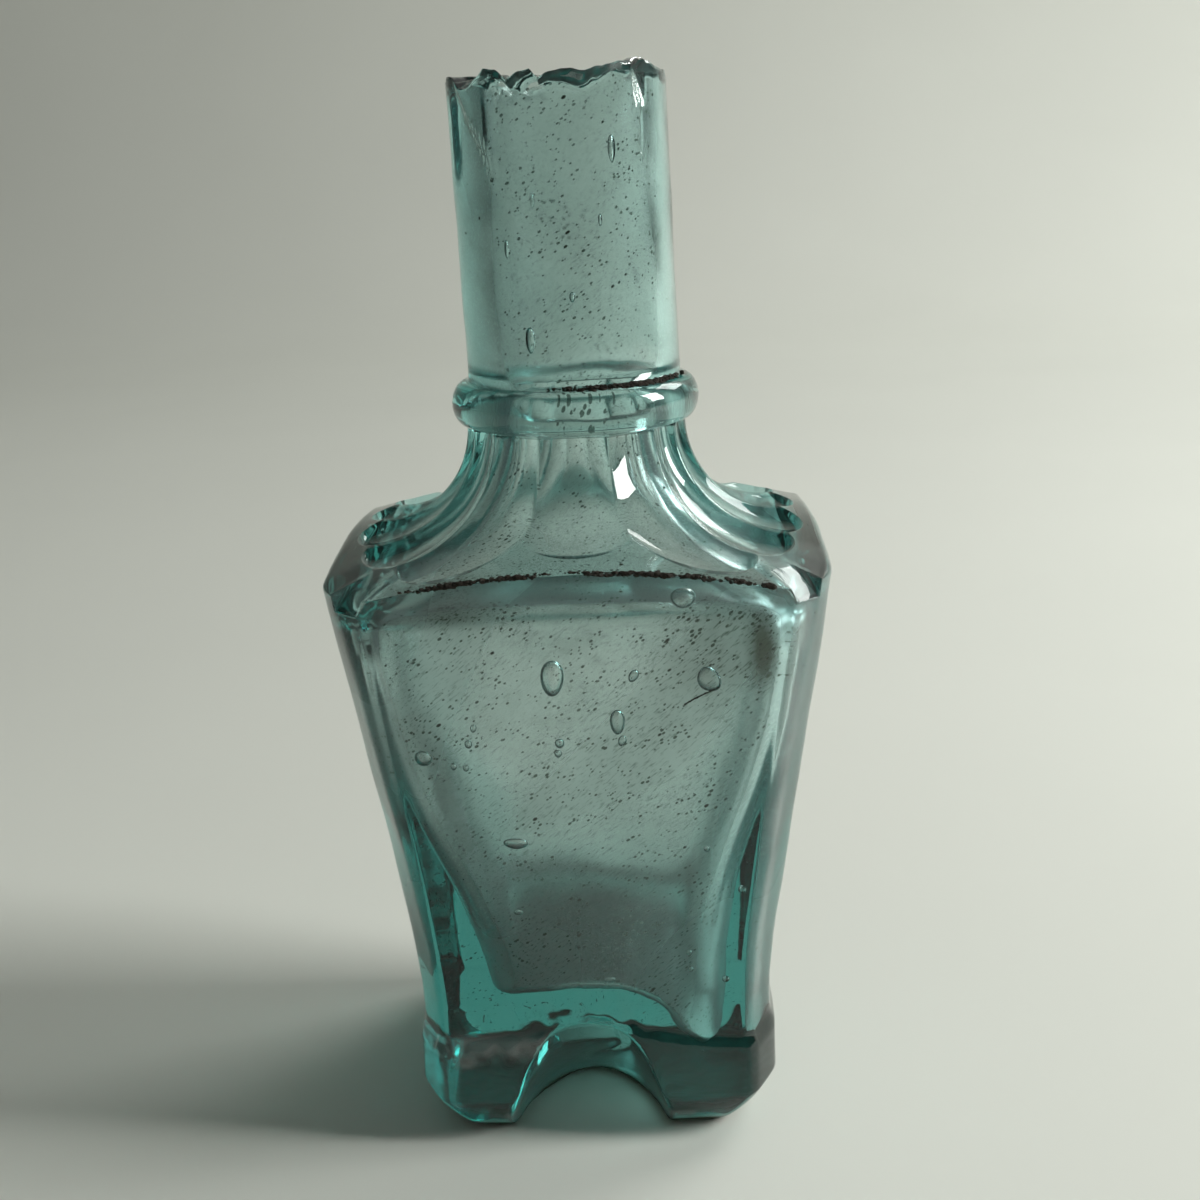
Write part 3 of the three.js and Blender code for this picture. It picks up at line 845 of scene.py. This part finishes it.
def mould_blown_aqua_glass():
    """Soda-lime glass, blown in an iron mould and fire-polished: clear and glossy, IOR 1.52,
    aqua from iron in the sand, so it is pale in a thin wall and deep teal through the foot.
    Inside, damp has left haze, specks and brown stain; outside, the same brown paints shade in the
    notch."""
    m = new_material("mould_blown_aqua_glass")
    place = add_node(m, "ShaderNodeTexCoord").outputs["Object"]
    haze = add_node(m, "ShaderNodeAttribute", attribute_name="haze").outputs["Fac"]
    stain = add_node(m, "ShaderNodeAttribute", attribute_name="stain").outputs["Fac"]
    specked = add_node(m, "ShaderNodeAttribute", attribute_name="specked").outputs["Fac"]
    patches = add_node(
        m, "ShaderNodeTexNoise", {"Vector": place},
        in_Scale=1 / (6 * MM), in_Detail=5.0, in_Roughness=0.65).outputs["Fac"]

    # dirt: sparse specks up to 0.4 mm across and finer ones up to 0.3 mm, most of them far
    # smaller, all drawn out a little at a slant
    slanted = slanted_place(m, place, 36, 1.7)
    coarse = speck_layer(m, slanted, patches, 0.9, 0.17, 0.21)
    fine = speck_layer(m, slanted, patches, 0.36, 0.13, 0.44)
    specks = math_on(m, "MULTIPLY_ADD", fine, 0.5, coarse, clamp=True)
    specks = math_on(m, "MULTIPLY", specks, specked)

    # fine scuffing drawn out at a slant, 0.17 mm across and six times as long
    drawn = slanted_place(m, place, 40, 6)
    scuff_noise = add_node(
        m, "ShaderNodeTexNoise", {"Vector": drawn},
        in_Scale=1 / (0.17 * MM), in_Detail=2.0, in_Roughness=0.6)
    scuffs = add_node(
        m, "ShaderNodeMapRange", {"Value": scuff_noise.outputs["Fac"]},
        in_From_Min=0.53, in_From_Max=0.72).outputs[0]

    # how much of the surface all of it hides: haze in patches, scuffs, stain (with the painted
    # shade in the notch) and specks
    cover = math_on(m, "MULTIPLY", math_on(m, "MULTIPLY", haze, patches), 0.34)
    cover = math_on(m, "MULTIPLY_ADD", math_on(m, "MULTIPLY", scuffs, haze), 0.32, cover)
    cover = math_on(m, "MULTIPLY_ADD", stain, 0.50, cover)
    cover = math_on(m, "MULTIPLY_ADD", specks, 0.85, cover, clamp=True)
    clear = math_on(m, "SUBTRACT", 1.0, cover, clamp=True)

    # stain colour, grey-green haze to brown soil; in the notch this brown is painted shade
    soil_and_shade_mix = add_node(m, "ShaderNodeMix", {"Factor": stain}, data_type="RGBA")
    soil_and_shade_mix.inputs["A"].default_value = srgb("54685B")
    soil_and_shade_mix.inputs["B"].default_value = srgb("423C2A")
    dirt = add_node(
        m, "ShaderNodeMix", {"Factor": specks, "A": soil_and_shade_mix.outputs["Result"]}, data_type="RGBA")
    dirt.inputs["B"].default_value = srgb("2B2419")
    # the film tints what shines through it sooner than it hides it
    tint = math_on(m, "MULTIPLY", cover, 1.8, clamp=True)
    colour = add_node(
        m, "ShaderNodeMix", {"Factor": tint, "B": dirt.outputs["Result"]}, data_type="RGBA")
    colour.inputs["A"].default_value = srgb("F7FBFA")

    rough = add_node(
        m, "ShaderNodeMapRange", {"Value": haze}, in_To_Min=0.015, in_To_Max=0.34)
    grain = add_node(
        m, "ShaderNodeTexNoise", {"Vector": place}, in_Scale=1 / (2.5 * MM), in_Detail=3.0)
    relief = add_node(
        m, "ShaderNodeBump", {"Height": grain.outputs["Fac"]},
        in_Strength=0.12, in_Distance=0.1 * MM)
    shader = add_node(
        m, "ShaderNodeBsdfPrincipled",
        {"Base Color": colour.outputs["Result"], "Roughness": rough.outputs[0],
         "Transmission Weight": clear, "Normal": relief.outputs[0]},
        in_IOR=1.52)
    absorb = add_node(
        m, "ShaderNodeVolumeAbsorption", in_Color=(0.20, 0.70, 0.685, 1.0), in_Density=100.0)
    add_node(
        m, "ShaderNodeOutputMaterial",
        {"Surface": shader.outputs[0], "Volume": absorb.outputs[0]})
    return m


def dried_soil():
    """Soil dried hard in the seams: matt, nearly black-brown, crumbly."""
    m = new_material("dried_soil_crust")
    place = add_node(m, "ShaderNodeTexCoord").outputs["Object"]
    crumbs = add_node(
        m, "ShaderNodeTexNoise", {"Vector": place}, in_Scale=1 / (0.5 * MM), in_Detail=5.0)
    colour = add_node(
        m, "ShaderNodeMix", {"Factor": crumbs.outputs["Fac"]}, data_type="RGBA")
    colour.inputs["A"].default_value = srgb("110F0C")
    colour.inputs["B"].default_value = srgb("362D22")
    relief = add_node(
        m, "ShaderNodeBump", {"Height": crumbs.outputs["Fac"]},
        in_Strength=0.6, in_Distance=0.1 * MM)
    shader = add_node(
        m, "ShaderNodeBsdfPrincipled",
        {"Base Color": colour.outputs["Result"], "Normal": relief.outputs[0]},
        in_Roughness=0.92)
    add_node(m, "ShaderNodeOutputMaterial", {"Surface": shader.outputs[0]})
    return m


def matt_paper():
    """Warm white card: matt, with a faint cloudiness."""
    m = new_material("matt_paper")
    place = add_node(m, "ShaderNodeTexCoord").outputs["Object"]
    cloud = add_node(m, "ShaderNodeTexNoise", {"Vector": place}, in_Scale=9.0, in_Detail=2.0)
    colour = add_node(
        m, "ShaderNodeMix", {"Factor": cloud.outputs["Fac"]}, data_type="RGBA")
    colour.inputs["A"].default_value = srgb("DCDDD5")
    colour.inputs["B"].default_value = srgb("E2E3DB")
    shader = add_node(
        m, "ShaderNodeBsdfPrincipled", {"Base Color": colour.outputs["Result"]},
        in_Roughness=0.8)
    add_node(m, "ShaderNodeOutputMaterial", {"Surface": shader.outputs[0]})
    return m


# ---------------------------------------------------------------- soil in the seams

CRUMB_DIRECTIONS = [Vector(v).normalized() for v in (
    (1, 0, 0), (-1, 0, 0), (0, 1, 0), (0, -1, 0), (0, 0, 1), (0, 0, -1),
    (1, 1, 1), (-1, 1, 1), (1, -1, 1), (-1, -1, 1),
    (1, 1, -1), (-1, 1, -1), (1, -1, -1), (-1, -1, -1))]
CRUMB_FLATNESS = 0.6
RING_CRUMBS = 420
ROOT_CRUMBS = 34
# Patches of soil along the top edge of the front panel: x, its spread, and how many crumbs
EDGE_PATCHES = [
    (-11.5, 3.2, 170),
    (-5.5, 2.6, 120),
    (2.2, 2.2, 60),
    (7.0, 2.2, 190),
    (11.5, 1.6, 60),
    (15.5, 1.2, 45),
    (18.2, 0.5, 60),
]


def crumb_faces():
    """Faces between the six axis points and the eight corner points of a rough crumb."""
    faces = []
    for axis in range(6):
        pole = CRUMB_DIRECTIONS[axis]
        near = [i for i in range(6, 14) if CRUMB_DIRECTIONS[i].dot(pole) > 0.1]
        side = CRUMB_DIRECTIONS[(axis + 2) % 6]
        other = pole.cross(side)
        near.sort(key=lambda i: math.atan2(
            CRUMB_DIRECTIONS[i].dot(other), CRUMB_DIRECTIONS[i].dot(side)))
        faces += [(axis, near[j], near[(j + 1) % 4]) for j in range(4)]
    return faces


def soil_crust(material):
    source = random.Random(64)
    faces_one = crumb_faces()
    points, faces = [], []

    def crumb(x, y, z, size):
        base = len(points)
        for direction in CRUMB_DIRECTIONS:
            reach = size * source.uniform(0.6, 1.25)
            dx, dy, dz = (part * reach for part in direction)
            points.append((x + dx, y + dy, z + dz * CRUMB_FLATNESS))
        faces.extend(tuple(base + v for v in f) for f in faces_one)

    # on top of the neck ring, thick at the front right
    for _ in range(RING_CRUMBS):
        a = math.radians(source.triangular(-104, -12, -50))
        radius = NECK_RADIUS + source.uniform(-0.05, 0.5)
        z = RING_TOP + source.uniform(-0.05, 0.35)
        crumb(radius * math.cos(a), radius * math.sin(a), z, source.uniform(0.12, 0.32))
    # along the top edge of the front panel
    for middle, spread, count in EDGE_PATCHES:
        for _ in range(count):
            x = source.gauss(middle, spread * 0.6)
            arch = PANEL_ARCH * (1 - min(abs(x) / 19.5, 1) ** 2)
            y = -(SHOULDER_HALF + FACE_BOW) + source.uniform(-0.08, 0.4)
            z = SHOULDER_Z + arch + source.uniform(-0.16, 0.2)
            crumb(x, y, z, source.uniform(0.10, 0.31))
    # a strand of dried root on the front
    for t in np.linspace(0, 1, ROOT_CRUMBS):
        x, z = 9.9 + 3.4 * t, 49.3 + 1.8 * t ** 0.8
        y = 0.02 - float(body_half(z)) - FACE_BOW * (1 - (x / 19) ** 2)
        crumb(x, y, z, source.uniform(0.10, 0.17))
    return make_piece("soil_crust", points, faces, material, smooth=False)


# ---------------------------------------------------------------- stage, light and camera

def sweep_of_paper(material):
    """Floor that curves up into a backdrop well behind the bottle."""
    depth, bend, top, half_width = 0.95, 0.30, 1.1, 1.5
    profile = [(-1.2, 0.0), (0.0, 0.0), (depth - bend, 0.0)]
    for i in range(1, 13):
        a = math.pi / 2 * i / 12
        profile.append((depth - bend + bend * math.sin(a), bend * (1 - math.cos(a))))
    profile.append((depth, top))
    points = [(x, y, z) for y, z in profile for x in (-half_width, half_width)]
    faces = [(2 * i, 2 * i + 1, 2 * i + 3, 2 * i + 2) for i in range(len(profile) - 1)]
    piece = make_piece("paper_sweep", np.array(points) / MM, faces, material)


def area_light(name, place, aim, size, power, colour):
    data = bpy.data.lights.new(name, "AREA")
    data.shape = "RECTANGLE"
    data.size, data.size_y = size
    data.energy = power
    data.color = srgb(colour)[:3]
    light = bpy.data.objects.new(name, data)
    light.location = place
    light.rotation_euler = (Vector(aim) - Vector(place)).to_track_quat("-Z", "Y").to_euler()
    bpy.context.scene.collection.objects.link(light)


def light_the_stage():
    area_light("window", (0.62, -0.05, 0.36), (0, 0, 0.05), (0.20, 0.34), 4.9, "FDFFFC")
    area_light("softbox", (0.75, 0.75, 0.75), (0.25, 0.50, 0), (0.7, 0.5), 7.4, "FDFFFC")
    world = bpy.data.worlds.new("room")
    world.use_nodes = True
    background = world.node_tree.nodes["Background"]
    background.inputs["Color"].default_value = srgb("9BA09C")
    background.inputs["Strength"].default_value = 0.27
    bpy.context.scene.world = world


def place_camera():
    """Looking down a little from the front, with the bottle leaning slightly to the left."""
    heading, pitch, lean = math.radians(1.47), math.radians(15.33), math.radians(2.25)
    away, side, height = 176.8, 1.73, 102.5
    spin = Matrix.Rotation(heading, 3, "Z")
    right = Vector((1, 0, 0))
    forward = Vector((0, math.cos(pitch), -math.sin(pitch)))
    up = Vector((0, math.sin(pitch), math.cos(pitch)))
    image_right = spin @ (right * math.cos(lean) - up * math.sin(lean))
    image_up = spin @ (right * math.sin(lean) + up * math.cos(lean))
    back = spin @ -forward
    data = bpy.data.cameras.new("camera")
    data.sensor_width = 36.0
    data.lens = 51.0
    data.clip_start, data.clip_end = 0.005, 10.0
    camera = bpy.data.objects.new("camera", data)
    turn = Matrix((image_right, image_up, back)).transposed().to_4x4()
    camera.matrix_world = Matrix.Translation(spin @ Vector((side, -away, height)) * MM) @ turn
    bpy.context.scene.collection.objects.link(camera)
    bpy.context.scene.camera = camera


# ---------------------------------------------------------------- the scene

place_camera()
light_the_stage()
sweep_of_paper(matt_paper())

glass = glass_skin(mould_blown_aqua_glass())
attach(glass, "root")
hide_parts(*[part["node"] for part in frame["record"]["subparts"]])

crust = soil_crust(dried_soil())
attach(crust, "root")

bpy.context.scene.view_settings.view_transform = "Standard"
